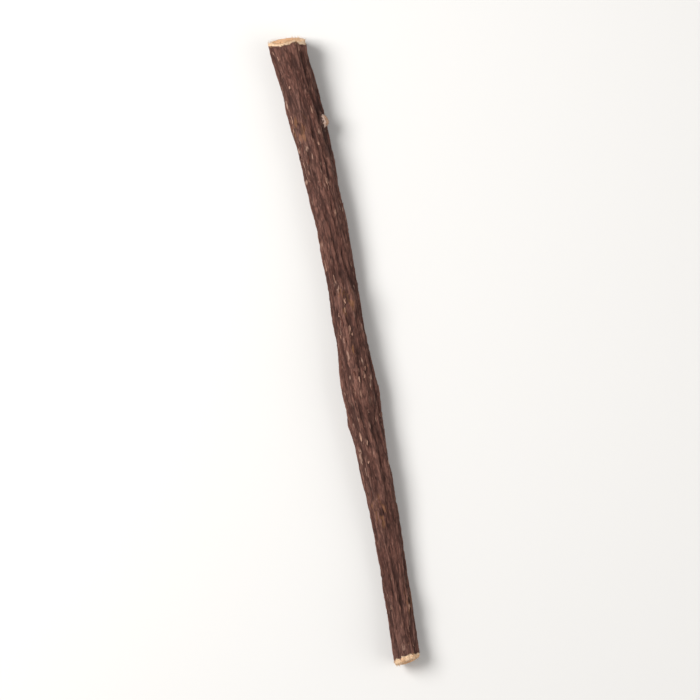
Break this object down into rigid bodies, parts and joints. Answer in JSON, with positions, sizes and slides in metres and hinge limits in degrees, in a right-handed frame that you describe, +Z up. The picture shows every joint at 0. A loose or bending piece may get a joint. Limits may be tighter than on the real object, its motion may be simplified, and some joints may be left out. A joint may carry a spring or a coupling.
{
  "type": "licorice root stick",
  "caption": "Slightly bent stick of dried licorice root with furrowed red-brown bark, a trimmed rootlet stub and sheared pale ends, lying on its side.",
  "frame": {"origin": "on the surface that the root lies on, under the middle of the root's box", "axes": "+X along the root towards its thick end, +Y sideways away from the bow, +Z up"},
  "size_m": [0.1522, 0.011, 0.0103],
  "materials": {
    "root_bark": "dry wrinkled red-brown bark, with pale yellow fibrous wood at the cut ends"
  },
  "bodies": {
    "root": {"licorice_root": "root_bark"}
  },
  "joints": []
}
